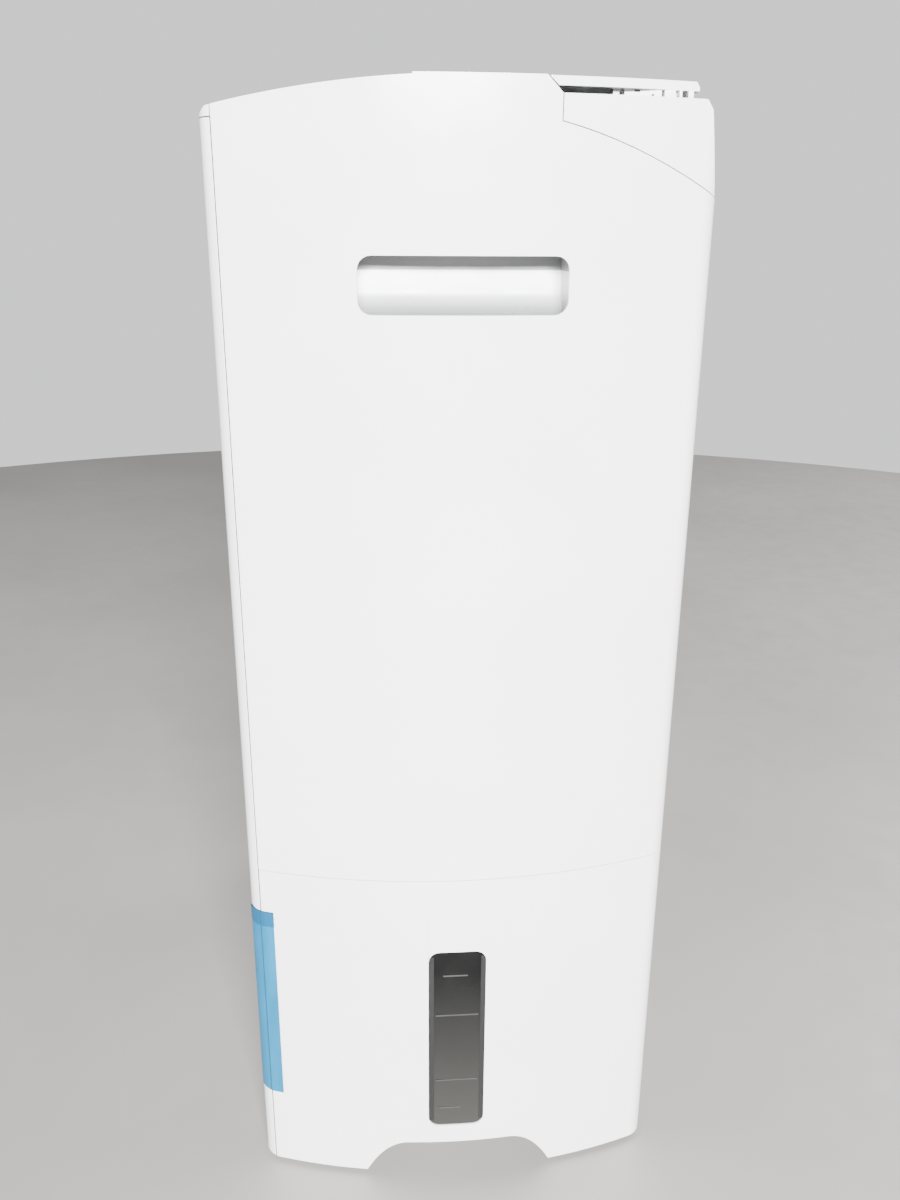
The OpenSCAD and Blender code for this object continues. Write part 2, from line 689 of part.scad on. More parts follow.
module rotor_pinion() {
    color("ivory") {
        translate([pinion_x, rotor_y1, pinion_z]) rotate([90, 0, 0])
            linear_extrude(8) polygon(gear(pinion_teeth, gear_m, mesh_angle + 180 + 180 / pinion_teeth));
        bar_y(frame_y0 - 7, rotor_y1 - 8, pinion_x, pinion_z, pinion_shaft);
    }
}
module rotor_frame() {
    color("gainsboro") difference() {
        block([coil_x0 + 2, coil_x1], [frame_y0, frame_y1], [chassis_top, coil_z1]);
        // Wells for the rotor and its pinion
        bar_y(frame_y0 + shell, frame_y1 + 1, air_xc, air_zc, 2 * (ring_r + gear_m + 1.5));
        bar_y(frame_y0 + shell, frame_y1 + 1, pinion_x, pinion_z, 2 * (pinion_r + gear_m + 1));
        bar_y(frame_y0 - 1, frame_y1, pinion_x, pinion_z, pinion_shaft + 2 * pin_clear);
        // Three air windows between the spokes
        translate([air_xc, frame_y1, air_zc]) rotate([90, 0, 0]) linear_extrude(rotor_d + 20) difference() {
            circle(r = ring_r - 9);
            circle(r = 17);
            for (a = [0, 120, 240]) rotate(a) translate([0, -5]) square([ring_r, 10]);
        }
    }
    color("gainsboro") bar_y(frame_y0 + shell - 1, rotor_y1, air_xc, air_zc, axle_d);
}
module rotor_motor() {
    color("silver") difference() {
        union() {
            bar_y(frame_y0 - heater_t + gap, frame_y0, pinion_x, pinion_z, 32);
            block([pinion_x - 21, pinion_x + 21], [frame_y0 - 2, frame_y0], [pinion_z - 4, pinion_z + 4]);
        }
        bar_y(frame_y0 - 8, frame_y0 + 1, pinion_x, pinion_z, pinion_shaft + 2 * pin_clear);
    }
}
// Sector between two angles, for shapes round the rotor's axis
module sector(r0, r1, a0, a1) {
    steps = 8;
    polygon(concat([for (i = [0 : steps]) let (a = a0 + (a1 - a0) * i / steps) [r1 * cos(a), r1 * sin(a)]],
        [for (i = [0 : steps]) let (a = a1 + (a0 - a1) * i / steps) [r0 * cos(a), r0 * sin(a)]]));
}
module heater() {
    color("tan") translate([air_xc, frame_y0, air_zc]) rotate([90, 0, 0]) {
        difference() {
            linear_extrude(heater_t - gap) sector(22, ring_r - 6, 128, 172);
            translate([0, 0, -1]) linear_extrude(heater_t - gap) sector(25, ring_r - 8.5, 131, 169);
        }
        for (r = [34 : 12 : ring_r - 20]) translate([0, 0, 3]) linear_extrude(2) sector(r, r + 3, 129, 171);
    }
}

// ---- fan
scroll_r1 = min(coil_x1 - coil_x0, coil_z1 - coil_z0) / 2 - shell - 2;
fan_r = scroll_r1 - 40;
scroll_r0 = fan_r + 7;
cutoff_a = 60;
cutoff_x = scroll_r0 * cos(cutoff_a);
neck_x0 = air_xc + cutoff_x;
neck_x1 = air_xc + scroll_r1;
scroll_steps = 30;
module volute(t) {
    polygon([for (i = [0 : scroll_steps])
        let (a = cutoff_a + (360 - cutoff_a) * i / scroll_steps,
            r = scroll_r0 + (scroll_r1 - scroll_r0) * i / scroll_steps + t)
        [r * cos(a), r * sin(a)]]);
    translate([cutoff_x - t, 0]) square([scroll_r1 - cutoff_x + 2 * t, duct_z0 - air_zc]);
}
module in_scroll(y) {
    translate([air_xc, y, air_zc]) rotate([90, 0, 0]) children();
}
motor_r = 36;
shaft_d = 8;
module fan_scroll() {
    color("silver") difference() {
        union() {
            in_scroll(fan_y1) linear_extrude(fan_y1 - fan_y0) volute(shell);
            for (x = [-1, 1])
                block([air_xc + x * 50 - 12, air_xc + x * 50 + 12], [fan_y0, fan_y1], [chassis_top, air_zc - 60]);
        }
        in_scroll(fan_y1 - shell) linear_extrude(fan_y1 - fan_y0 - 2 * shell) volute(0);
        bar_y(fan_y1 - shell - 1, fan_y1 + 1, air_xc, air_zc, 2 * fan_r - 16);
        bar_y(fan_y0 - 1, fan_y0 + shell + 1, air_xc, air_zc, 24);
        translate([neck_x0, fan_y0 + shell, duct_z0 - 5])
            cube([neck_x1 - neck_x0, fan_y1 - fan_y0 - 2 * shell, 10]);
    }
}
blades = 36;
module fan_wheel() {
    y0 = fan_y0 + shell + 3;
    y1 = fan_y1 - shell - 3;
    color("dimgray") {
        bar_y(y0, y0 + 2, air_xc, air_zc, 2 * fan_r);
        bar_y(y0, y0 + 16, air_xc, air_zc, 22);
        bar_y(fan_y0 - motor_d + 8, y0, air_xc, air_zc, shaft_d);
        in_scroll(y1) linear_extrude(y1 - y0 - 2) for (i = [0 : blades - 1]) rotate(360 * i / blades)
            polygon([[fan_r - 14, 0], [fan_r - 7, -2.6], [fan_r - 0.6, -3.6], [fan_r - 0.6, -2.4],
                [fan_r - 7, -1.4], [fan_r - 14, 1]]);
        in_scroll(y1) linear_extrude(2.5) difference() {
            circle(r = fan_r);
            circle(r = fan_r - 8);
        }
    }
}
module fan_motor() {
    color("darkgray") difference() {
        union() {
            bar_y(motor_y0, fan_y0 - 2, air_xc, air_zc, 2 * motor_r);
            bar_y(fan_y0 - 2, fan_y0, air_xc, air_zc, 2 * motor_r + 16);
            for (z = [-1, 0, 1])
                bar_y(motor_y0 + 6 + 7 * (z + 1), motor_y0 + 9 + 7 * (z + 1), air_xc, air_zc, 2 * motor_r + 3);
        }
        bar_y(motor_y0 + 6, fan_y0 + 1, air_xc, air_zc, shaft_d + 2 * pin_clear);
    }
}

// ---- chassis, pan and base
chassis_t = 3;
chassis_top = deck_floor_z + chassis_t;
evap_yc = (evap_y0 + evap_y1) / 2;
cond_yc = (cond_y0 + cond_y1) / 2;
riser_x = coil_x0 - 8;
spout_x = coil_x1 - 24;
spout_y = cond_yc;
spout_d = 12;
bulkhead_x = tank_x0 - 6;
base_in = front_return + seam;
module inner_chassis() {
    color("gainsboro") difference() {
        union() {
            plan(base_in, deck_floor_z, chassis_top);
            // Bulkhead between the compressor and the tank bay, and the tank's guide walls
            block([bulkhead_x, bulkhead_x + 2], [-tank_hd - 3, tank_hd + 3], [bay_floor, deck_floor_z]);
            for (y = [-1, 1])
                block([bulkhead_x, side_x(tank_hd + 3) - base_in - 1], [y * (tank_hd + 2) - 1, y * (tank_hd + 2) + 1],
                    [bay_floor, deck_floor_z]);
            // Ribs under the drain pan
            for (x = [coil_x0 + 20, air_xc, coil_x1 - 60])
                block([x, x + 3], [cond_y0, evap_y1], [chassis_top, pan_z0]);
        }
        bar_z(deck_floor_z - 1, chassis_top + 1, spout_x, spout_y, spout_d + 3);
        for (y = [cond_yc, evap_yc]) bar_z(deck_floor_z - 1, chassis_top + 1, riser_x, y, 2 * tube_r + 3);
    }
}
module drain_pan() {
    x = [coil_x0 - pan_wall - 1, coil_x1 + pan_wall + 1];
    y = [cond_y0 - pan_gap - pan_wall, evap_y1 + pan_gap + pan_wall];
    color("whitesmoke") difference() {
        union() {
            block(x, y, [pan_z0, pan_z0 + pan_h]);
            bar_z(deck_floor_z - 8, pan_z0 + 1, spout_x, spout_y, spout_d);
        }
        block([x[0] + pan_wall, x[1] - pan_wall], [y[0] + pan_wall, y[1] - pan_wall],
            [pan_z0 + pan_wall, pan_z0 + pan_h + 1]);
        bar_z(deck_floor_z - 9, pan_z0 + pan_h, spout_x, spout_y, spout_d - 3);
    }
}
pocket_x = half_w - 46;
comp_x = (-side_x(half_d) + wall + bulkhead_x) / 2;
comp_z0 = bay_floor + 16;
can_z0 = comp_z0 - 13;
can_z1 = can_z0 + comp_h;
stud_r = comp_d / 2 + 12;
studs = [for (a = [90, 210, 330]) [comp_x + stud_r * cos(a), stud_r * sin(a)]];
foot_d = 24;
foot_at = [for (x = [-1, 1]) for (y = [-1, 1]) [x * (half_w - 48), y * (half_d - 26)]];
module base_tray() {
    color("gainsboro") difference() {
        union() {
            plan(base_in, floor_z0, bay_floor);
            // Upstand round the compressor's end
            intersection() {
                difference() {
                    plan(base_in, bay_floor, bay_floor + 20);
                    plan(base_in + 2, bay_floor - 1, bay_floor + 21);
                }
                block([-half_w, bulkhead_x - 1], [-half_d, half_d], [0, body_h]);
            }
            for (s = studs) bar_z(bay_floor, comp_z0 - 8, s[0], s[1], 12);
            for (s = studs) bar_z(bay_floor, comp_z0 + 5, s[0], s[1], 5);
        }
        // Hand pocket below the pull notch
        block([pocket_x - notch_gap, half_w], [-notch_w / 2 - notch_gap, notch_w / 2 + notch_gap],
            [0, bay_floor + 1]);
        for (f = foot_at) bar_z(floor_z0 - 1, bay_floor + 1, f[0], f[1], 6);
    }
}
module rubber_feet() {
    color("darkslategray") for (f = foot_at) {
        bar_z(0, floor_z0, f[0], f[1], foot_d);
        bar_z(floor_z0, bay_floor - 0.5, f[0], f[1], 5.8);
    }
}

// ---- compressor and its pipework
module compressor() {
    r = comp_d / 2;
    dome = 26;
    can_wall = 5;
    core_r = 20;
    lug_t = 3;
    steps = 8;
    side = concat([[0, 0]],
        [for (i = [0 : steps]) let (a = -90 + 90 * i / steps) [r - 12 + 12 * cos(a), 12 + 12 * sin(a)]],
        [for (i = [0 : steps - 1]) let (a = 90 * i / steps) [r * cos(a), comp_h - dome + dome * sin(a)]],
        [[8, comp_h], [0, comp_h]]);
    color("dimgray") {
        translate([comp_x, 0, can_z0]) difference() {
            rotate_extrude() polygon(side);
            // Space in the can round the pump and its motor
            rotate_extrude() translate([core_r, 12]) square([r - can_wall - core_r, comp_h - dome - 12]);
        }
        // Three mounting lugs, each an eye on an arm
        for (s = studs) {
            a = atan2(s[1], s[0] - comp_x);
            translate([comp_x, 0, comp_z0]) rotate(a) {
                difference() {
                    translate([stud_r, 0, 0]) cylinder(d = 22, h = lug_t);
                    translate([stud_r, 0, -1]) cylinder(d = 12, h = lug_t + 2);
                }
                translate([r - 3, -7, 0]) cube([stud_r - r - 5, 14, lug_t]);
            }
        }
        // Terminal cover
        translate([comp_x, 0, comp_z0]) rotate(-30) translate([-r - 10, -18, comp_h - 80]) cube([26, 36, 44]);
    }
}
module compressor_grommets() {
    color("darkslategray") for (s = studs) difference() {
        union() {
            bar_z(comp_z0 - 8, comp_z0, s[0], s[1], 18);
            bar_z(comp_z0 - 1, comp_z0 + 3.5, s[0], s[1], 11.6);
        }
        bar_z(comp_z0 - 9, comp_z0 + 6, s[0], s[1], 5.2);
    }
}
acc_d = 30;
acc_y = comp_d / 2 + acc_d / 2 + 6;
acc_z = [comp_z0 + 36, comp_z0 + 124];
// Round tube along straight runs parallel to the axes, with a slightly fuller ball at each corner
module run(points) {
    for (i = [0 : len(points) - 2]) {
        a = points[i];
        b = points[i + 1];
        d = b - a;
        if (abs(d[0]) > 0.01) bar_x(min(a[0], b[0]), max(a[0], b[0]), a[1], a[2], 2 * tube_r);
        if (abs(d[1]) > 0.01) bar_y(min(a[1], b[1]), max(a[1], b[1]), a[0], a[2], 2 * tube_r);
        if (abs(d[2]) > 0.01) bar_z(min(a[2], b[2]), max(a[2], b[2]), a[0], a[1], 2 * tube_r);
        if (i > 0) translate(a) sphere(r = tube_r + 0.3);
    }
}
coil_end = coil_x0 + tube_pitch / 2 + tube_r - 1;
coil_low = coil_z0 + 0.5 * tube_pitch;
coil_high = coil_z0 + 7.5 * tube_pitch;
pipe_z = can_z1 + 14;
drier_h = 46;
drier_z1 = coil_high - 14;
module refrigerant_pipes() {
    color("peru") {
        // Hot gas to the warm coil
        run([[comp_x, 0, can_z1], [comp_x, 0, pipe_z], [riser_x, 0, pipe_z],
            [riser_x, cond_yc, pipe_z], [riser_x, cond_yc, coil_low], [coil_end, cond_yc, coil_low]]);
        // Liquid past the drier to the cold coil
        run([[coil_end, cond_yc, coil_high], [riser_x, cond_yc, coil_high], [riser_x, cond_yc, drier_z1]]);
        run([[riser_x, cond_yc, drier_z1 - drier_h], [riser_x, cond_yc, drier_z1 - drier_h - 12],
            [riser_x, evap_yc, drier_z1 - drier_h - 12], [riser_x, evap_yc, coil_high], [coil_end, evap_yc, coil_high]]);
        // Suction back through the accumulator
        run([[coil_end, evap_yc, coil_low], [riser_x, evap_yc, coil_low], [riser_x, evap_yc, pipe_z - 14],
            [comp_x, evap_yc, pipe_z - 14], [comp_x, acc_y, pipe_z - 14], [comp_x, acc_y, acc_z[1] - 2]]);
        bar_z(acc_z[0], acc_z[1], comp_x, acc_y, acc_d);
        run([[comp_x, acc_y, acc_z[0] + 1], [comp_x, acc_y, acc_z[0] - 10], [comp_x, comp_d / 2, acc_z[0] - 10]]);
    }
}
module filter_drier() {
    color("chocolate") {
        bar_z(drier_z1 - drier_h + 5, drier_z1 - 5, riser_x, cond_yc, 13);
        bar_z(drier_z1 - drier_h, drier_z1, riser_x, cond_yc, 8);
    }
}

// ---- tank
step_x = pocket_x - 4;
step_z = notch_h + 6;
bin_d = wall + tank_gap;
// Solid inside the tank's bay, drawn in by d from the bin's outer faces
module bin_solid(d, z0, z1) {
    intersection() {
        plan(bin_d + d, z0, z1);
        block([tank_x0 + d, half_w], [-tank_hd + d, tank_hd - d], [z0, z1]);
        // Step over the hand pocket
        union() {
            block([tank_x0, half_w], [-half_d, half_d], [step_z + d, body_h]);
            block([tank_x0, step_x - d], [-half_d, half_d], [0, body_h]);
        }
    }
}
module tank() {
    color("lightsteelblue") difference() {
        bin_solid(0, bin_z0, bin_top);
        bin_solid(tank_wall, bin_z0 + tank_wall, bin_top + 1);
    }
}
window_y = -2;
window_mid = window_z + window_h / 2;
window_in = 0.8;
// Outline of the pull notch: each side curves over into a flat top
notch_curve = 26.5;
notch_steps = 10;
function notch_side(s) = [for (i = [0 : notch_steps])
    let (u = 1 - i / notch_steps) [s * (notch_w / 2 - notch_curve * (1 - u)), notch_h * (1 - pow(u, 2.3))]];
notch_shape = concat([[notch_w / 2, -5]], notch_side(1),
    [for (i = [notch_steps : -1 : 0]) notch_side(-1)[i]], [[-notch_w / 2, -5]]);
module tank_face() {
    z1 = tank_top;
    color("white") difference() {
        union() {
            intersection() {
                union() {
                    skin(panel_z0, z1);
                    // Ledges that tie the face to the bin
                    for (z = [panel_z0 + step_z, bin_top - 8]) difference() {
                        plan(wall, z, z + 2);
                        plan(bin_d, z - 1, z + 3);
                    }
                }
                block([rear_seam_x, half_w + 1], [front_seam_y + seam, half_d + 1], [0, z1]);
            }
            // Roof, back and cheeks of the hand pocket
            intersection() {
                plan(wall, panel_z0, step_z);
                difference() {
                    block([pocket_x - 2, half_w], [-notch_w / 2 - 2, notch_w / 2 + 2], [panel_z0 + 1, step_z - 0.4]);
                    block([pocket_x, half_w + 1], [-notch_w / 2, notch_w / 2], [0, step_z - 2.4]);
                }
            }
        }
        along_x(notch_shape, half_w - side_bulge - 10, half_w + 1);
        along_x(round_rect(window_y, window_mid, window_w, window_h, 6), rear_seam_x, half_w + 1);
    }
}
module tank_window() {
    color("dimgray") intersection() {
        difference() {
            plan(window_in, window_z, window_z + window_h);
            plan(wall, window_z - 1, window_z + window_h + 1);
        }
        along_x(round_rect(window_y, window_mid, window_w, window_h, 6), rear_seam_x, half_w + 1);
    }
}
lid_t = 2;
lid_top = bin_top + lid_t;
float_x = tank_x0 + 52;
float_z = bin_top - 14;
float_pin = 4;
module tank_lid() {
    color("aliceblue") difference() {
        union() {
            bin_solid(-0.5, bin_top, lid_top);
            bin_solid(tank_wall + 0.4, bin_top - 5, bin_top);
        }
        bin_solid(tank_wall + 2.4, bin_top - 6, bin_top);
        bar_z(bin_top - 1, lid_top + 1, spout_x, spout_y, 34);
    }
    // Lugs for the float's pin
    color("aliceblue") difference() {
        for (y = [-16, 13]) block([float_x - 5, float_x + 5], [y, y + 3], [float_z - 5, bin_top]);
        bar_y(-20, 20, float_x, float_z, float_pin + 2 * pin_clear);
    }
}
module tank_float() {
    color("orange") {
        block([tank_x0 + 10, tank_x0 + 38], [-12, 12], [float_z - 34, float_z - 16]);
        block([tank_x0 + 34, float_x + 3], [-4, 4], [float_z - 20, float_z - 16]);
        block([float_x - 3, float_x + 3], [-4, 4], [float_z - 18, float_z + 3]);
        bar_y(-17, 17, float_x, float_z, float_pin);
    }
}
bail_t = 6;
module tank_handle() {
    x0 = tank_x0 + 18;
    x1 = side_x(tank_hd) - 22;
    yh = tank_hd - 12;
    color("whitesmoke") {
        for (y = [-yh, yh - bail_t]) block([x0, x1], [y, y + bail_t], [lid_top, lid_top + bail_t]);
        block([x0, x0 + 10], [-yh, yh], [lid_top, lid_top + bail_t]);
        for (y = [-yh, yh]) bar_y(y - 3, y + 3, x1 - 4, lid_top + bail_t / 2, bail_t);
    }
}
module tank_switch() {
    color("black") {
        block([bulkhead_x + 2, tank_x0 - 1], [-10, 10], [float_z - 36, float_z - 14]);
        block([bulkhead_x - 8, bulkhead_x], [-7, 7], [float_z - 32, float_z - 18]);
    }
}

// ---- electronics, sensor, gland and tape
ebox_x0 = coil_x1 + 14;
ebox_d = 28;
ebox_y = [-62, 58];
ebox_z = [chassis_top + 24, grip_z - 40];
module electronics_box() {
    color("gainsboro") {
        difference() {
            block([ebox_x0, ebox_x0 + ebox_d], ebox_y, ebox_z);
            block([ebox_x0 + shell, ebox_x0 + ebox_d + 1], [ebox_y[0] + shell, ebox_y[1] - shell],
                [ebox_z[0] + shell, ebox_z[1] - shell]);
        }
        // Legs down to the chassis
        for (y = [ebox_y[0] + 6, ebox_y[1] - 16])
            block([ebox_x0, ebox_x0 + 8], [y, y + 10], [chassis_top, ebox_z[0]]);
    }
}
module main_board() {
    x = ebox_x0 + shell;
    z = ebox_z[0];
    h = ebox_z[1] - z;
    color("darkgreen") {
        block([x + 4, x + 5.6], [ebox_y[0] + 5, ebox_y[1] - 5], [z + 5, ebox_z[1] - 5]);
        for (y = [ebox_y[0] + 12, ebox_y[1] - 12]) for (k = [0.1, 0.9]) bar_x(x, x + 4, y, z + h * k, 6);
        block([x + 5.6, x + 19], [-40, -10], [z + 0.08 * h, z + 0.08 * h + 34]);
        for (i = [0 : 3]) block([x + 5.6, x + 15], [8 + i * 11, 17 + i * 11], [z + 20, z + 42]);
        for (i = [0 : 2]) bar_x(x + 5.6, x + 21, -34 + i * 22, z + h * 0.5, 16);
        for (i = [0 : 7]) block([x + 5.6, x + 20], [8 + i * 5, 10 + i * 5], [z + h * 0.66, z + h * 0.9]);
    }
}
module humidity_sensor() {
    x = -grille_hw - 16;
    z = grille_z1 - 30;
    y = half_d - wall;
    color("ivory") difference() {
        block([x - 5, x + 5], [y - 8, y], [z - 9, z + 9]);
        for (k = [-6 : 3 : 6]) block([x - 3.5, x + 3.5], [y - 9, y - 6], [z + k - 0.7, z + k + 0.7]);
    }
}
module cord_gland() {
    y = half_d - wall;
    color("black") difference() {
        union() {
            bar_y(y - 10, y, gland_x, gland_z, gland_hole + 6);
            bar_y(y, half_d - 0.3, gland_x, gland_z, gland_hole - 0.1);
        }
        bar_y(y - 11, half_d + 1, gland_x, gland_z, 7);
    }
}
tape_z = [52.7, 174.6];
tape_y1 = -100;
tape_t = 0.3;
module shipping_tape() {
    color("lightskyblue") intersection() {
        difference() {
            plan(-2 * tape_t, tape_z[0], tape_z[1]);
            plan(-tape_t, tape_z[0] - 1, tape_z[1] + 1);
        }
        block([fillet_cx + 4, half_w], [-half_d, tape_y1], [0, body_h]);
    }
}

base_tray();
rubber_feet();
front_panel();
side_panel_right();
side_panel_left();
top_cover();
upper_rear_cover();
rear_cover();
rear_grille();
air_filter();
handle_cup_right();
handle_cup_left();
control_panel();
display_window();
button_power();
button_mode();
button_laundry();
button_timer();
button_louver();
control_board();
main_board();
electronics_box();
louver_flap();
inner_louver();
pivot_block_right();
pivot_block_left();
louver_motor();
outlet_duct();
fan_scroll();
fan_wheel();
fan_motor();
inner_chassis();
compressor();
compressor_grommets();
evaporator();
condenser();
refrigerant_pipes();
filter_drier();
desiccant_rotor();
rotor_frame();
rotor_pinion();
rotor_motor();
heater();
drain_pan();
humidity_sensor();
tank();
tank_face();
tank_window();
tank_lid();
tank_float();
tank_handle();
tank_switch();
cord_gland();
rear_screws();
shipping_tape();
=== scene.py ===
import json
import math

import bmesh
import bpy
from mathutils import Matrix, Vector

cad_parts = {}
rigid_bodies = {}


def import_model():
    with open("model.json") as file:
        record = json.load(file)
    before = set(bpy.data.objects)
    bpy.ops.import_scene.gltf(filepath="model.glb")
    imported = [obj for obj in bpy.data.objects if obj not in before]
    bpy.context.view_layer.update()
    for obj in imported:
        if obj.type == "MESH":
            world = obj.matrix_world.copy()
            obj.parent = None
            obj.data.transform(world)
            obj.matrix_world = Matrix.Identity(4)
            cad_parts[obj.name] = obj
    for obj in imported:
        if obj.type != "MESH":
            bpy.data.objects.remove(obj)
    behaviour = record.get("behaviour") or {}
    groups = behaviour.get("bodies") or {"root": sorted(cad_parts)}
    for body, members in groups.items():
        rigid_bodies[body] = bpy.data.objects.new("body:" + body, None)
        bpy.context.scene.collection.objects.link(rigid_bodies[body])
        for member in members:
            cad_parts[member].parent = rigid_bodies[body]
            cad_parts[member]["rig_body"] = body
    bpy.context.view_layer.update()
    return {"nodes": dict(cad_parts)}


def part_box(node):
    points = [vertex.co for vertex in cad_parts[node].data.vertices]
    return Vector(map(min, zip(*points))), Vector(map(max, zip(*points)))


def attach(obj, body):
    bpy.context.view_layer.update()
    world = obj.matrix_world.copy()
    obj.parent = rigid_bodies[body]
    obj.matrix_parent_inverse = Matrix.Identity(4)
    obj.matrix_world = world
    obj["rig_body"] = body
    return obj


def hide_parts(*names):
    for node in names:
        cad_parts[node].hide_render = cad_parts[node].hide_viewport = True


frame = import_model()
nodes = frame["nodes"]


cameraLook = {
    "place": (0.6497, -0.0448, 0.5202),  # metres
    "yaw": -4.62,  # degrees, turned from looking straight along -X
    "pitch": 19.46,  # degrees down
    "roll": 0.34,
    "lens": 31.5,  # millimetres
    "sensor": 36,
    "clip": (0.01, 50),
}


def makeCamera(look):
    yaw, pitch, roll = (math.radians(look[k]) for k in ("yaw", "pitch", "roll"))
    level = Vector((-math.cos(yaw), -math.sin(yaw), 0))
    ahead = level * math.cos(pitch) - Vector((0, 0, math.sin(pitch)))
    right = Vector((-math.sin(yaw), math.cos(yaw), 0))
    up = right.cross(ahead)
    tilted = right * math.cos(roll) + up * math.sin(roll)
    upright = up * math.cos(roll) - right * math.sin(roll)
    data = bpy.data.cameras.new("camera")
    data.lens, data.sensor_width = look["lens"], look["sensor"]
    data.clip_start, data.clip_end = look["clip"]
    data.dof.use_dof = False
    camera = bpy.data.objects.new("camera", data)
    turn = Matrix((tilted, upright, -ahead)).transposed().to_4x4()
    camera.matrix_world = Matrix.Translation(look["place"]) @ turn
    bpy.context.scene.collection.objects.link(camera)
    bpy.context.scene.camera = camera


lightLook = {
    "sky": (0.93, 0.95, 0.94),
    "skyLight": 0.3,  # what the sky sheds on the object
    "skySeen": 1.15,  # what shows behind it
    # name, place, aim, width, height, power
    "lamps": [
        ("keyLamp", (2.5, 0.05, 1.16), (0.15, 0, 0.36), 1.1, 0.34, 400),
        ("frontFill", (0.2, -2.1, 1.3), (0, 0, 0.3), 1.2, 1.6, 30),
        ("rearFill", (-1.3, 1.8, 1.5), (0, 0, 0.3), 1.4, 1.2, 60),
    ],
}


def makeLights(look):
    world = bpy.data.worlds.new("studio")
    world.use_nodes = True
    tree = world.node_tree
    sky = tree.nodes["Background"]
    sky.inputs["Color"].default_value = (*look["sky"], 1)
    path = tree.nodes.new("ShaderNodeLightPath")
    strength = spread(tree, path.outputs["Is Camera Ray"], look["skyLight"], look["skySeen"], 0, 1)
    tree.links.new(strength, sky.inputs["Strength"])
    bpy.context.scene.world = world
    for name, place, aim, width, height, power in look["lamps"]:
        data = bpy.data.lights.new(name, "AREA")
        data.shape, data.size, data.size_y, data.energy = "RECTANGLE", width, height, power
        lamp = bpy.data.objects.new(name, data)
        lamp.location = place
        lamp.rotation_euler = (Vector(aim) - Vector(place)).to_track_quat("-Z", "Y").to_euler()
        bpy.context.scene.collection.objects.link(lamp)


def newMaterial(name, colour, roughness, metallic=0.0, coat=0.0, coatRoughness=0.1):
    material = bpy.data.materials.new(name)
    material.use_nodes = True
    shader = material.node_tree.nodes["Principled BSDF"]
    shader.inputs["Base Color"].default_value = (*colour, 1)
    shader.inputs["Roughness"].default_value = roughness
    shader.inputs["Metallic"].default_value = metallic
    shader.inputs["Coat Weight"].default_value = coat
    shader.inputs["Coat Roughness"].default_value = coatRoughness
    return material, shader


def objectNoise(tree, scale, detail, stretch=(1, 1, 1)):
    place = tree.nodes.new("ShaderNodeTexCoord")
    shape = tree.nodes.new("ShaderNodeMapping")
    shape.inputs["Scale"].default_value = stretch
    noise = tree.nodes.new("ShaderNodeTexNoise")
    noise.inputs["Scale"].default_value = scale
    noise.inputs["Detail"].default_value = detail
    tree.links.new(place.outputs["Object"], shape.inputs["Vector"])
    tree.links.new(shape.outputs["Vector"], noise.inputs["Vector"])
    return noise.outputs["Fac"]


def objectAxis(tree, axis):
    place = tree.nodes.new("ShaderNodeTexCoord")
    parts = tree.nodes.new("ShaderNodeSeparateXYZ")
    tree.links.new(place.outputs["Object"], parts.inputs["Vector"])
    return parts.outputs[axis]


def spread(tree, value, low, high, fromLow=0.3, fromHigh=0.7):
    span = tree.nodes.new("ShaderNodeMapRange")
    limits = {"From Min": fromLow, "From Max": fromHigh, "To Min": low, "To Max": high}
    for key, number in limits.items():
        span.inputs[key].default_value = number
    tree.links.new(value, span.inputs["Value"])
    return span.outputs["Result"]


def tint(tree, value, dark, light):
    mix = tree.nodes.new("ShaderNodeMix")
    mix.data_type = "RGBA"
    mix.inputs["A"].default_value = (*dark, 1)
    mix.inputs["B"].default_value = (*light, 1)
    tree.links.new(value, mix.inputs["Factor"])
    return mix.outputs["Result"]


def varyColour(tree, shader, value, dark, light):
    tree.links.new(tint(tree, value, dark, light), shader.inputs["Base Color"])


def varyRoughness(tree, shader, value, rough):
    tree.links.new(spread(tree, value, *rough), shader.inputs["Roughness"])


def overlay(tree, shader, factor, colour):
    mix = tree.nodes.new("ShaderNodeMix")
    mix.data_type = "RGBA"
    mix.inputs["B"].default_value = (*colour, 1)
    tree.links.new(shader.inputs["Base Color"].links[0].from_socket, mix.inputs["A"])
    tree.links.new(factor, mix.inputs["Factor"])
    tree.links.new(mix.outputs["Result"], shader.inputs["Base Color"])


def bump(tree, shader, value, height, strength=1.0):
    node = tree.nodes.new("ShaderNodeBump")
    node.inputs["Distance"].default_value = height
    node.inputs["Strength"].default_value = strength
    tree.links.new(value, node.inputs["Height"])
    tree.links.new(node.outputs["Normal"], shader.inputs["Normal"])


# Noise as scale and detail, the same on every moulded or metal finish
mouldedNoise = {
    "cloud": (14, 4),  # slow drift of colour over the moulding
    "wipe": (55, 5),  # handling haze that varies the gloss
    "grainDetail": 2,
}

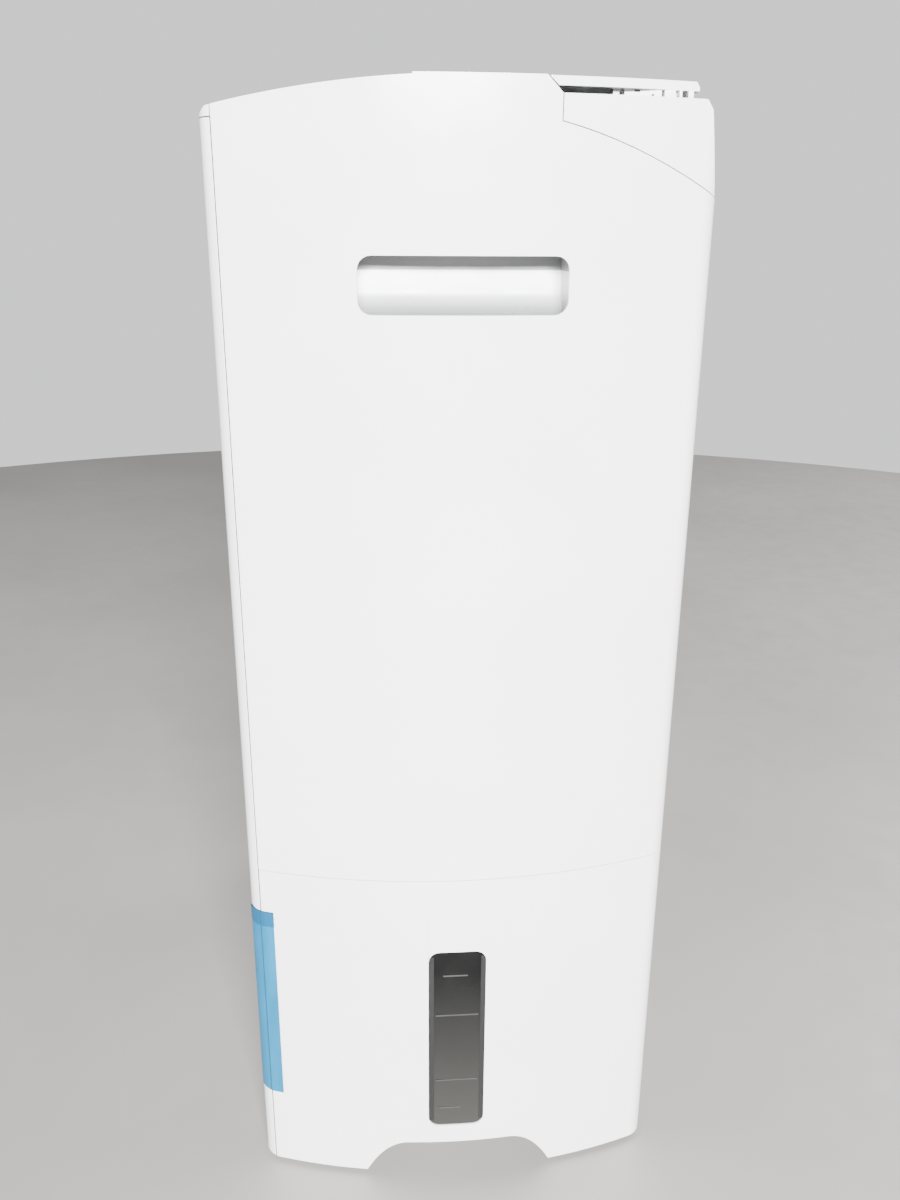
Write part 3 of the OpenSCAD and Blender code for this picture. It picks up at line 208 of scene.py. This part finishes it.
# One entry per moulded or metal finish: colours are linear, grain is the scale of the fine bumps
finishLook = {
    "shellWhite": {"dark": (0.80, 0.815, 0.81), "light": (0.85, 0.86, 0.855), "rough": (0.16, 0.24),
        "grain": 1500, "relief": 0.000004, "coat": 0.25},
    "cupWhite": {"dark": (0.78, 0.79, 0.79), "light": (0.82, 0.83, 0.83), "rough": (0.26, 0.36),
        "grain": 2200, "relief": 0.000008},
    "grilleWhite": {"dark": (0.72, 0.735, 0.73), "light": (0.77, 0.78, 0.775), "rough": (0.38, 0.5),
        "grain": 2600, "relief": 0.00001},
    "panelGrey": {"dark": (0.50, 0.52, 0.53), "light": (0.55, 0.565, 0.575), "rough": (0.22, 0.3),
        "grain": 3200, "relief": 0.000006, "coat": 0.3},
    "keyWhite": {"dark": (0.70, 0.71, 0.71), "light": (0.75, 0.755, 0.755), "rough": (0.3, 0.4),
        "grain": 2600, "relief": 0.000008},
    "framePlastic": {"dark": (0.42, 0.43, 0.43), "light": (0.5, 0.505, 0.5), "rough": (0.45, 0.6),
        "grain": 1600, "relief": 0.00002},
    "ductGrey": {"dark": (0.035, 0.036, 0.04), "light": (0.055, 0.056, 0.06), "rough": (0.5, 0.65),
        "grain": 1800, "relief": 0.00002},
    "scrollPlastic": {"dark": (0.09, 0.095, 0.1), "light": (0.12, 0.125, 0.13), "rough": (0.5, 0.62),
        "grain": 1400, "relief": 0.00002},
    "rubberBlack": {"dark": (0.012, 0.012, 0.013), "light": (0.024, 0.024, 0.025), "rough": (0.68, 0.82),
        "grain": 2400, "relief": 0.00003},
    "switchBlack": {"dark": (0.014, 0.014, 0.015), "light": (0.022, 0.022, 0.023), "rough": (0.4, 0.52),
        "grain": 2400, "relief": 0.00001},
    "pinionWhite": {"dark": (0.68, 0.66, 0.58), "light": (0.74, 0.72, 0.65), "rough": (0.35, 0.45),
        "grain": 1800, "relief": 0.00001},
    "sensorWhite": {"dark": (0.66, 0.665, 0.65), "light": (0.72, 0.725, 0.71), "rough": (0.36, 0.48),
        "grain": 2200, "relief": 0.00001},
    "floatOrange": {"dark": (0.72, 0.16, 0.015), "light": (0.82, 0.22, 0.03), "rough": (0.42, 0.55),
        "grain": 1500, "relief": 0.00002},
    "compressorBlack": {"dark": (0.012, 0.012, 0.013), "light": (0.022, 0.022, 0.023), "rough": (0.28, 0.42),
        "grain": 700, "relief": 0.00003, "coat": 0.4},
    "heaterMica": {"dark": (0.30, 0.235, 0.15), "light": (0.48, 0.40, 0.28), "rough": (0.55, 0.75),
        "grain": 260, "relief": 0.00008},
    "rotorMedia": {"dark": (0.075, 0.066, 0.058), "light": (0.135, 0.12, 0.105), "rough": (0.8, 0.95),
        "grain": 900, "relief": 0.0002},
    "circuitGreen": {"dark": (0.006, 0.07, 0.028), "light": (0.012, 0.11, 0.045), "rough": (0.3, 0.45),
        "grain": 420, "relief": 0.00005},
    "motorSteel": {"dark": (0.46, 0.465, 0.47), "light": (0.56, 0.565, 0.57), "rough": (0.3, 0.42),
        "grain": 900, "relief": 0.00001, "metal": 1.0, "stretch": (1, 8, 1)},
    "coilAluminium": {"dark": (0.68, 0.69, 0.7), "light": (0.78, 0.785, 0.79), "rough": (0.28, 0.45),
        "grain": 500, "relief": 0.00002, "metal": 1.0, "stretch": (6, 1, 1)},
    "copperTube": {"dark": (0.46, 0.19, 0.105), "light": (0.72, 0.35, 0.21), "rough": (0.25, 0.48),
        "grain": 160, "relief": 0.00002, "metal": 1.0},
    "screwSteel": {"dark": (0.5, 0.5, 0.505), "light": (0.6, 0.6, 0.605), "rough": (0.28, 0.4),
        "grain": 1500, "relief": 0.00001, "metal": 1.0},
}


def mouldedFinish(name, look):
    metal, coat = look.get("metal", 0), look.get("coat", 0)
    material, shader = newMaterial(name, look["light"], look["rough"][0], metal, coat)
    tree = material.node_tree
    stretch = look.get("stretch", (1, 1, 1))
    cloud = objectNoise(tree, *mouldedNoise["cloud"], stretch)
    grain = objectNoise(tree, look["grain"], mouldedNoise["grainDetail"], stretch)
    wipe = objectNoise(tree, *mouldedNoise["wipe"], stretch)
    varyColour(tree, shader, spread(tree, cloud, 0, 1), look["dark"], look["light"])
    varyRoughness(tree, shader, wipe, look["rough"])
    bump(tree, shader, grain, look["relief"])
    return material


print("finishes")
finishes = {name: mouldedFinish(name, look) for name, look in finishLook.items()}


# Clear, smoky, film and mesh finishes, each with its own numbers; noises are scale and detail


windowSmokeLook = {
    "top": (0.0018, 0.002, 0.0019),
    "foot": (0.034, 0.0335, 0.0315),
    "shine": 0.14,
    "z": (0.030, 0.142),  # metres, foot and top of the painted shade that darkens the plate towards the top
    "rough": (0.05, 0.11),
    "haze": (60, 4),
    "ripple": (24, 2),
    "relief": 0.00008,
    "reliefStrength": 0.5,
}


def windowSmoke(name, look):
    material, shader = newMaterial(name, look["top"], look["rough"][0])
    shader.inputs["Specular IOR Level"].default_value = look["shine"]
    tree = material.node_tree
    # darker towards the top: painted shade over the smoked plate's own tint
    height = spread(tree, objectAxis(tree, "Z"), 0, 1, *look["z"])
    varyColour(tree, shader, height, look["foot"], look["top"])
    varyRoughness(tree, shader, objectNoise(tree, *look["haze"]), look["rough"])
    bump(tree, shader, objectNoise(tree, *look["ripple"]), look["relief"], look["reliefStrength"])
    return material


def cloudySurface(tree, shader, look, tone, drift):
    varyRoughness(tree, shader, objectNoise(tree, *look["haze"]), look["rough"])
    cloud = spread(tree, objectNoise(tree, *look["cloud"]), 0, 1)
    varyColour(tree, shader, cloud, tone, drift)
    bump(tree, shader, objectNoise(tree, *look["ripple"]), look["relief"])


tankClearLook = {
    "tone": (0.86, 0.9, 0.91),
    "drift": (0.80, 0.85, 0.865),
    "rough": (0.08, 0.2),
    "clear": 0.72,
    "refraction": 1.49,
    "coat": 0.3,
    "coatRough": 0.08,
    "haze": (40, 4),
    "cloud": (18, 3),
    "ripple": (320, 2),
    "relief": 0.00003,
}


def tankClear(name, look):
    coat, coatRough = look["coat"], look["coatRough"]
    material, shader = newMaterial(name, look["tone"], look["rough"][0], 0, coat, coatRough)
    shader.inputs["IOR"].default_value = look["refraction"]
    shader.inputs["Transmission Weight"].default_value = look["clear"]
    cloudySurface(material.node_tree, shader, look, look["tone"], look["drift"])
    return material


displayLook = {
    "tone": (0.008, 0.009, 0.011),
    "sheen": (0.014, 0.016, 0.019),
    "rough": (0.06, 0.13),
    "coat": 0.8,
    "coatRough": 0.03,
    "haze": (90, 5),
    "cloud": (40, 3),
    "ripple": (700, 2),
    "relief": 0.000004,
}


def displayGlass(name, look):
    coat, coatRough = look["coat"], look["coatRough"]
    material, shader = newMaterial(name, look["tone"], look["rough"][0], 0, coat, coatRough)
    cloudySurface(material.node_tree, shader, look, look["tone"], look["sheen"])
    return material


tapeLook = {
    "dark": (0.003, 0.108, 0.21),
    "light": (0.005, 0.145, 0.285),
    "rough": (0.34, 0.5),
    "shine": 0.3,
    "seam": (0.003, 0.06, 0.115),
    "seamY": -0.107,  # the panel seam shows through the film
    "seamHalf": 0.0003,
    "creases": (90, 5, (1, 1, 0.35)),  # noise scale, detail and stretch
    "crepe": (900, 2, (1, 1, 0.2)),
    "relief": 0.0003,
    "reliefStrength": 0.35,
}


def tapeFilm(name, look):
    material, shader = newMaterial(name, look["light"], look["rough"][0])
    shader.inputs["Specular IOR Level"].default_value = look["shine"]
    tree = material.node_tree
    wrinkle = objectNoise(tree, *look["creases"])
    varyColour(tree, shader, spread(tree, wrinkle, 0, 1), look["dark"], look["light"])
    seam = tree.nodes.new("ShaderNodeMath")
    seam.operation = "COMPARE"
    seam.use_clamp = True
    seam.inputs[1].default_value = look["seamY"]
    seam.inputs[2].default_value = look["seamHalf"]
    tree.links.new(objectAxis(tree, "Y"), seam.inputs[0])
    overlay(tree, shader, seam.outputs[0], look["seam"])
    varyRoughness(tree, shader, objectNoise(tree, *look["crepe"]), look["rough"])
    bump(tree, shader, wrinkle, look["relief"], look["reliefStrength"])
    return material


filterLook = {
    "thread": (0.11, 0.115, 0.125),
    "gap": (0.03, 0.032, 0.036),
    "weave": 700,  # wave scale along each axis
    "rough": (0.5, 0.7),
    "haze": (80, 4),
    "relief": 0.00015,
}


def filterMesh(name, look):
    material, shader = newMaterial(name, look["thread"], look["rough"][0])
    tree = material.node_tree
    place = tree.nodes.new("ShaderNodeTexCoord")
    waves = []
    for axis in ("X", "Z"):
        wave = tree.nodes.new("ShaderNodeTexWave")
        wave.bands_direction = axis
        wave.inputs["Scale"].default_value = look["weave"]
        tree.links.new(place.outputs["Object"], wave.inputs["Vector"])
        waves.append(wave.outputs["Fac"])
    weave = tree.nodes.new("ShaderNodeMath")
    weave.operation = "MAXIMUM"
    tree.links.new(waves[0], weave.inputs[0])
    tree.links.new(waves[1], weave.inputs[1])
    varyColour(tree, shader, weave.outputs[0], look["gap"], look["thread"])
    varyRoughness(tree, shader, objectNoise(tree, *look["haze"]), look["rough"])
    bump(tree, shader, weave.outputs[0], look["relief"])
    return material


finishes["windowSmoke"] = windowSmoke("windowSmoke", windowSmokeLook)
finishes["tankClear"] = tankClear("tankClear", tankClearLook)
finishes["displayGlass"] = displayGlass("displayGlass", displayLook)
finishes["tapeBlue"] = tapeFilm("tapeBlue", tapeLook)
finishes["filterMesh"] = filterMesh("filterMesh", filterLook)


# Pieces that stand for a CAD node, with their moulded edges softened


meshLook = {
    "weld": 0.000002,  # metres
    "flat": 0.6,  # degrees between faces that count as one
    "roundFrom": 32,  # degrees, edges sharper than this are rounded
    "sharpFrom": 24,  # degrees, edges sharper than this are shaded sharp
    "faceWeight": 60,
    "cutReach": 0.000001,
}


def cadCopy(name):
    form = bmesh.new()
    form.from_mesh(nodes[name].data)
    bmesh.ops.remove_doubles(form, verts=form.verts, dist=meshLook["weld"])
    bmesh.ops.dissolve_limit(form, angle_limit=math.radians(meshLook["flat"]), verts=form.verts,
        edges=form.edges)
    return form


def bevelEdges(form, edges, width, segments):
    bmesh.ops.bevel(form, geom=edges, offset=width, offset_type="OFFSET", segments=segments,
        profile=0.5, affect="EDGES", clamp_overlap=True, material=-1)


def roundEdges(form, width, segments):
    limit = math.radians(meshLook["roundFrom"])
    sharp = [e for e in form.edges if e.is_manifold and e.calc_face_angle(0) > limit]
    bevelEdges(form, sharp, width, segments)


def cutAcross(form, z, dropBelow=False):
    bmesh.ops.bisect_plane(form, geom=form.verts[:] + form.edges[:] + form.faces[:],
        dist=meshLook["cutReach"], plane_co=(0, 0, z), plane_no=(0, 0, 1), clear_inner=dropBelow)


def makePiece(name, form, finish, cadNames=(), body=None):
    bmesh.ops.recalc_face_normals(form, faces=form.faces)
    mesh = bpy.data.meshes.new(name)
    form.to_mesh(mesh)
    form.free()
    mesh.materials.append(finishes[finish])
    mesh.shade_smooth()
    mesh.set_sharp_from_angle(angle=math.radians(meshLook["sharpFrom"]))
    piece = bpy.data.objects.new(name, mesh)
    bpy.context.scene.collection.objects.link(piece)
    even = piece.modifiers.new("evenShading", "WEIGHTED_NORMAL")
    even.keep_sharp, even.weight = True, meshLook["faceWeight"]
    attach(piece, body or nodes[cadNames[0]]["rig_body"])
    if cadNames:
        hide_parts(*cadNames)
    return piece


cadSlots = {name: node.data.materials[0].name for name, node in nodes.items()}


# CAD slot to finish; every node gets one, and the softened pieces below take it too
slotFinish = {
    "shell_white": "shellWhite", "cup_white": "cupWhite", "grille_white": "grilleWhite",
    "filter_mesh": "filterMesh", "panel_grey": "panelGrey", "display_glass": "displayGlass",
    "button_white": "keyWhite", "circuit_board": "circuitGreen", "frame_plastic": "framePlastic",
    "duct_grey": "ductGrey", "scroll_plastic": "scrollPlastic", "motor_steel": "motorSteel",
    "compressor_black": "compressorBlack", "rubber_black": "rubberBlack", "coil_aluminium": "coilAluminium",
    "copper": "copperTube", "rotor_media": "rotorMedia", "pinion_white": "pinionWhite",
    "heater_mica": "heaterMica", "sensor_white": "sensorWhite", "tank_clear": "tankClear",
    "window_smoke": "windowSmoke", "float_foam": "floatOrange", "switch_black": "switchBlack",
    "screw_steel": "screwSteel", "tape_blue": "tapeBlue",
}
for name, node in nodes.items():
    node.material_slots[0].material = finishes[slotFinish[cadSlots[name]]]


# node: edge width in metres, segments
softenedNodes = {
    "base_tray": (0.0006, 2), "front_panel": (0.0008, 3), "side_panel_right": (0.0007, 3),
    "side_panel_left": (0.0007, 3), "top_cover": (0.0006, 3), "upper_rear_cover": (0.0006, 3),
    "rear_cover": (0.0006, 2), "rear_grille": (0.0004, 2), "control_panel": (0.0004, 2),
    "display_window": (0.0002, 2), "button_power": (0.0004, 3), "button_mode": (0.0004, 3),
    "button_laundry": (0.0004, 3), "button_timer": (0.0004, 3), "button_louver": (0.0004, 3),
    "louver_flap": (0.0006, 3), "inner_louver": (0.0004, 2), "pivot_block_right": (0.0005, 2),
    "pivot_block_left": (0.0005, 2), "outlet_duct": (0.0004, 2), "tank_face": (0.0006, 3),
    "tank_window": (0.0003, 2), "tank": (0.0005, 2), "tank_lid": (0.0005, 2),
    "tank_handle": (0.0005, 2), "tank_float": (0.0006, 2), "rubber_feet": (0.0006, 2),
    "cord_gland": (0.0004, 2), "inner_chassis": (0.0004, 2), "electronics_box": (0.0005, 2),
    "drain_pan": (0.0004, 2),
}
print("softened shells")
for name, (width, segments) in softenedNodes.items():
    form = cadCopy(name)
    roundEdges(form, width, segments)
    makePiece(name + "Moulding", form, slotFinish[cadSlots[name]], (name,))


# Hand cups: painted shade, a darker grey finish on the pocket above the finger ledge and a grey fade in the
# foot of the scoop
cupLook = {
    "edge": 0.0012,
    "segments": 4,
    "ledgeZ": 0.5030,
    "throat": 0.003,  # depth of the mouth that keeps the cup's own white
    "scoopShade": (0.27, 0.282, 0.28),  # painted shade in the foot of the scoop
    "scoopZ": (0.4865, 0.4965),
}
# painted shade: grey finish standing in for the shadow inside the pocket above the finger ledge
cupPocketShadeLook = {"dark": (0.24, 0.243, 0.243), "light": (0.30, 0.303, 0.303), "rough": (0.4, 0.5),
    "grain": 2200, "relief": 0.00001}


def paintScoopShade(name, look):
    material = mouldedFinish(name, finishLook["cupWhite"])
    tree = material.node_tree
    # the scoop is painted darker towards its foot: painted shade
    depth = spread(tree, objectAxis(tree, "Z"), 1, 0, *look["scoopZ"])
    overlay(tree, tree.nodes["Principled BSDF"], depth, look["scoopShade"])
    return material


def makeCup(side, look):
    node = "handle_cup_" + side
    form = cadCopy(node)
    roundEdges(form, look["edge"], look["segments"])
    cutAcross(form, look["ledgeZ"])
    low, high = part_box(node)
    outer = max(abs(low.x), abs(high.x)) - look["throat"]
    for face in form.faces:
        mid = face.calc_center_median()
        # faces above the ledge and behind the mouth take the painted pocket shade
        face.material_index = int(mid.z > look["ledgeZ"] and abs(mid.x) < outer)
    piece = makePiece("handCup" + side.capitalize(), form, "cupScoop", (node,))
    piece.data.materials.append(finishes["cupPocketShade"])


finishes["cupPocketShade"] = mouldedFinish("cupPocketShade", cupPocketShadeLook)
finishes["cupScoop"] = paintScoopShade("cupScoop", cupLook)
print("hand cups")
for side in ("right", "left"):
    makeCup(side, cupLook)


# Water level window: rails down both sides, level marks across
windowLook = {
    "rails": ((-0.0160, 0.0028), (0.0121, 0.0026)),  # y middle, width
    "railZ": (0.040, 0.152),
    "railInset": 0.0003,
    "marks": (  # z, y middle, width
        (0.1397, -0.003, 0.0136),
        (0.1135, -0.002, 0.0236),
        (0.0688, -0.002, 0.0236),
        (0.0490, -0.006, 0.0120),
    ),
    "markHeight": 0.0010,
    "faceX": 0.18445,  # outer face of the marks
    "depth": 0.0016,
    "edge": 0.00025,
}
windowMarkLook = {"dark": (0.019, 0.019, 0.018), "light": (0.03, 0.03, 0.029), "rough": (0.3, 0.45),
    "grain": 900, "relief": 0.000008, "coat": 0.1}
windowRailLook = {"dark": (0.002, 0.0021, 0.002), "light": (0.004, 0.0041, 0.004), "rough": (0.62, 0.74),
    "grain": 900, "relief": 0.000008}


def addBar(form, low, high, edge):
    box = bmesh.ops.create_cube(form, size=1)["verts"]
    size, mid = Vector(high) - Vector(low), (Vector(low) + Vector(high)) / 2
    place = Matrix.Translation(mid) @ Matrix.Diagonal((*size, 1))
    bmesh.ops.transform(form, matrix=place, verts=box)
    edges = list(dict.fromkeys(e for v in box for e in v.link_edges))
    bevelEdges(form, edges, edge, 2)


def makeWindowDetail(look):
    marks, rails = bmesh.new(), bmesh.new()
    x1, x0, edge = look["faceX"], look["faceX"] - look["depth"], look["edge"]
    for z, y, width in look["marks"]:
        half = look["markHeight"] / 2
        addBar(marks, (x0, y - width / 2, z - half), (x1, y + width / 2, z + half), edge)
    inset, (z0, z1) = look["railInset"], look["railZ"]
    for y, width in look["rails"]:
        addBar(rails, (x0 - inset, y - width / 2, z0), (x1 - inset, y + width / 2, z1), edge)
    makePiece("windowMarks", marks, "windowMark", body="water_tank")
    makePiece("windowRails", rails, "windowRail", body="water_tank")


finishes["windowMark"] = mouldedFinish("windowMark", windowMarkLook)
finishes["windowRail"] = mouldedFinish("windowRail", windowRailLook)
print("window details")
makeWindowDetail(windowLook)


# Moulded fittings under each end of the outlet flap, seen through the slot
flapFittingLook = {
    "x": (0.1640, 0.1678),
    "top": 0.5763,
    "foot": 0.5731,
    "posts": (  # y from, y to
        (0.0618, 0.0646),
        (0.0668, 0.0829),
        (0.0841, 0.0889),
        (0.0905, 0.0918),
        (0.0944, 0.0968),
    ),
    "edge": 0.0003,
    "dots": ((0.0722, 0.5756, 0.0024, 0.0009), (0.0790, 0.5741, 0.0010, 0.0009)),  # y, z, width, height
    "dotHalf": 0.0002,  # half the thickness
    "dotEdge": 0.0001,
}


def makeFlapFittings(look):
    posts, dots = bmesh.new(), bmesh.new()
    inner, outer = look["x"]
    for sign in (1, -1):
        x0, x1 = sorted((sign * inner, sign * outer))
        for y0, y1 in look["posts"]:
            addBar(posts, (x0, y0, look["foot"]), (x1, y1, look["top"]), look["edge"])
        # the dots are thin black plates: painted shade standing in for small recesses in the fittings
        for y, z, width, height in look["dots"]:
            half = Vector((look["dotHalf"], width / 2, height / 2))
            mid = Vector((sign * outer, y, z))
            addBar(dots, mid - half, mid + half, look["dotEdge"])
    makePiece("flapEndFittings", posts, "cupWhite", body="flap")
    makePiece("flapEndRecessShade", dots, "switchBlack", body="flap")


print("flap fittings")
makeFlapFittings(flapFittingLook)


# Packing tape over the front corner seam, its top end folded back on itself
tapeShape = {"foldZ": 0.1656, "lift": 0.00022}
tapeFoldLook = {**tapeLook, "dark": (0.003, 0.066, 0.145), "light": (0.004, 0.083, 0.18)}


def makeTape(look):
    makePiece("tapeStrip", cadCopy("shipping_tape"), "tapeBlue", ("shipping_tape",))
    fold = cadCopy("shipping_tape")
    cutAcross(fold, look["foldZ"], dropBelow=True)
    bmesh.ops.holes_fill(fold, edges=[e for e in fold.edges if e.is_boundary], sides=0)
    fold.normal_update()
    for vert in fold.verts:
        vert.co += Vector((vert.normal.x, vert.normal.y, 0)).normalized() * look["lift"]
    makePiece("tapeFold", fold, "tapeFold", body="water_tank")


finishes["tapeFold"] = tapeFilm("tapeFold", tapeFoldLook)
print("tape")
makeTape(tapeShape)


floorLook = {
    "reach": 2.0,  # metres
    "sides": 96,
    "dark": (0.27, 0.262, 0.252),
    "light": (0.31, 0.302, 0.292),
    "rough": (0.38, 0.55),
    "cloud": (3, 5),
    "haze": (30, 5),
}


def makeFloor(look):
    form = bmesh.new()
    bmesh.ops.create_circle(form, cap_ends=True, segments=look["sides"], radius=look["reach"])
    mesh = bpy.data.meshes.new("floor")
    form.to_mesh(mesh)
    form.free()
    floor = bpy.data.objects.new("floor", mesh)
    bpy.context.scene.collection.objects.link(floor)
    material, shader = newMaterial("floorBoard", look["light"], look["rough"][0])
    tree = material.node_tree
    cloud = spread(tree, objectNoise(tree, *look["cloud"]), 0, 1)
    varyColour(tree, shader, cloud, look["dark"], look["light"])
    varyRoughness(tree, shader, objectNoise(tree, *look["haze"]), look["rough"])
    mesh.materials.append(material)


print("camera, floor and light")
makeFloor(floorLook)
makeCamera(cameraLook)
makeLights(lightLook)
